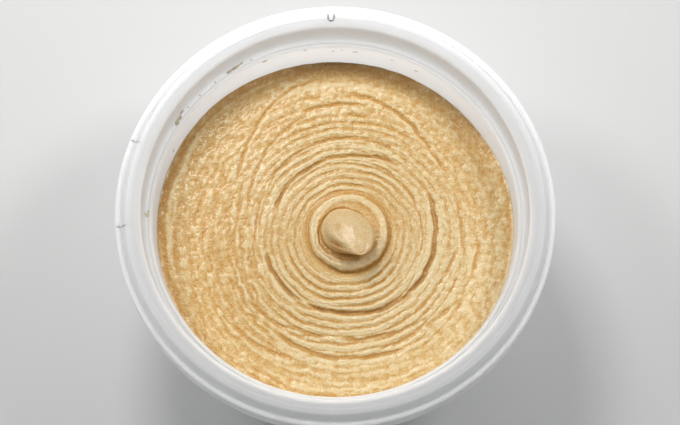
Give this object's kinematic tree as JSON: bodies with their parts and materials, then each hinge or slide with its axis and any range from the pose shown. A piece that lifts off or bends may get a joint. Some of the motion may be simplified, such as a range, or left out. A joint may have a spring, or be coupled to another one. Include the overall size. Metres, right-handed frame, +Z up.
{
  "type": "hummus in a round tub",
  "caption": "Open round plastic tub with a stepped rim, filled with hummus whose swirled top ends in a small leaning peak.",
  "frame": {"origin": "centre of the tub's base, on the plane of its foot ring", "axes": "+Z up along the tub's axis; the peak of the swirl leans towards -Y and a little towards +X"},
  "size_m": [0.117, 0.117, 0.054],
  "materials": {
    "tub_plastic": "satin white moulded plastic",
    "hummus_paste": "moist, slightly grainy chickpea paste"
  },
  "bodies": {
    "root": {"tub": "tub_plastic", "hummus": "hummus_paste"}
  },
  "joints": []
}
